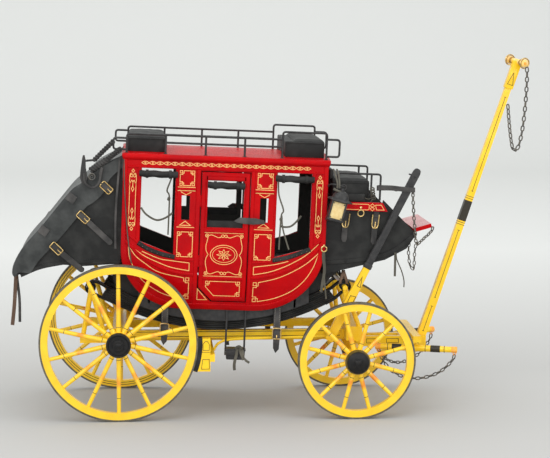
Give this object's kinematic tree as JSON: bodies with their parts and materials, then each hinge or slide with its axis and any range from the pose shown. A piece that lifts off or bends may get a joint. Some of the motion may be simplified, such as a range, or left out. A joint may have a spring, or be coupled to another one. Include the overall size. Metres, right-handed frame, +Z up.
{
  "type": "scale model stagecoach",
  "caption": "Scale model of a horse-drawn stagecoach: curved panelled body hung on leather straps, boots front and rear, spoked wheels, raised pole.",
  "frame": {"origin": "on the ground under the middle of the model's overall box", "axes": "+X forward, towards the pole; +Y to the coach's left; +Z up"},
  "size_m": [0.6486, 0.237, 0.4492],
  "materials": {
    "black_iron": "black paint",
    "black_leather": "dull black leather",
    "black_wood": "black paint",
    "chain_iron": "dark iron chain",
    "red_panel": "gloss paint with gilt lines",
    "tyre_iron": "dark iron",
    "yellow_iron": "gloss paint",
    "yellow_wood": "gloss paint with thin black lines"
  },
  "bodies": {
    "coach": {"side_right": "red_panel", "side_left": "red_panel", "rear_wall": "red_panel", "floor": "red_panel", "front_wall": "red_panel", "roof": "red_panel", "body_bearers": "black_wood", "bench_rear": "black_leather", "bench_middle": "black_leather", "bench_front": "black_leather", "curtain_rolls": "black_leather", "roof_seat_rear": "black_leather", "roof_seat_front": "black_leather", "roof_rails": "black_iron", "rear_boot": "black_leather", "rear_boot_cover": "black_leather", "front_boot": "black_leather", "boot_boards": "red_panel", "footboard": "red_panel", "driver_seat": "black_leather", "seat_rails": "black_iron", "lantern_right": "black_iron", "lantern_left": "black_iron", "steps": "black_iron", "check_straps": "black_leather", "thoroughbraces": "black_leather", "rear_stand": "yellow_iron", "front_stand": "yellow_iron", "reach": "yellow_wood", "rear_axle": "yellow_wood", "kingpin": "black_iron", "brake_beam": "yellow_wood", "brake_lever": "black_iron", "lever_strap": "black_leather", "lever_chain": "chain_iron"},
    "front_gear": {"front_axle": "yellow_wood", "futchells": "yellow_wood", "splinter_bar": "yellow_wood"},
    "pole": {"pole": "yellow_wood", "pole_head": "yellow_iron", "pole_chain": "chain_iron"},
    "draught_right": {"swingletree_right": "yellow_wood", "trace_chain_right": "chain_iron"},
    "draught_left": {"swingletree_left": "yellow_wood", "trace_chain_left": "chain_iron"},
    "door_right": {"door_right": "red_panel"},
    "door_left": {"door_left": "red_panel"},
    "road_wheel_rear_right": {"wheel_rear_right": "yellow_wood", "tyre_rear_right": "tyre_iron", "hub_cap_rear_right": "black_iron"},
    "road_wheel_rear_left": {"wheel_rear_left": "yellow_wood", "tyre_rear_left": "tyre_iron", "hub_cap_rear_left": "black_iron"},
    "road_wheel_front_right": {"wheel_front_right": "yellow_wood", "tyre_front_right": "tyre_iron", "hub_cap_front_right": "black_iron"},
    "road_wheel_front_left": {"wheel_front_left": "yellow_wood", "tyre_front_left": "tyre_iron", "hub_cap_front_left": "black_iron"}
  },
  "joints": [
    {"name": "steering", "type": "hinge", "parent": "coach", "child": "front_gear", "pos_m": [0.09679, 0, 0.0825], "axis": [0, 0, 1], "range_deg": [-14, 14]},
    {"name": "pole_lift", "type": "hinge", "parent": "front_gear", "child": "pole", "pos_m": [0.19079, 0, 0.0815], "axis": [0, 1, 0], "range_deg": [0, 71.4]},
    {"name": "swingletree_swing_right", "type": "hinge", "parent": "front_gear", "child": "draught_right", "pos_m": [0.17779, -0.054, 0.0796], "axis": [0, 0, 1], "range_deg": [-22, 12]},
    {"name": "swingletree_swing_left", "type": "hinge", "parent": "front_gear", "child": "draught_left", "pos_m": [0.17779, 0.054, 0.0796], "axis": [0, 0, -1], "range_deg": [-9, 26]},
    {"name": "door_swing_right", "type": "hinge", "parent": "coach", "child": "door_right", "pos_m": [-0.09766, -0.084, 0.22602], "axis": [-0.0384, 0, -0.9993], "range_deg": [0, 90]},
    {"name": "door_swing_left", "type": "hinge", "parent": "coach", "child": "door_left", "pos_m": [-0.09766, 0.084, 0.22602], "axis": [0.0384, 0, 0.9993], "range_deg": [0, 90]},
    {"name": "wheel_turn_rear_right", "type": "hinge", "parent": "coach", "child": "road_wheel_rear_right", "pos_m": [-0.19621, -0.0985, 0.097], "axis": [0, 1, 0], "continuous": true},
    {"name": "wheel_turn_rear_left", "type": "hinge", "parent": "coach", "child": "road_wheel_rear_left", "pos_m": [-0.19621, 0.0985, 0.097], "axis": [0, 1, 0], "continuous": true},
    {"name": "wheel_turn_front_right", "type": "hinge", "parent": "front_gear", "child": "road_wheel_front_right", "pos_m": [0.09679, -0.0985, 0.073], "axis": [0, 1, 0], "continuous": true},
    {"name": "wheel_turn_front_left", "type": "hinge", "parent": "front_gear", "child": "road_wheel_front_left", "pos_m": [0.09679, 0.0985, 0.073], "axis": [0, 1, 0], "continuous": true}
  ]
}
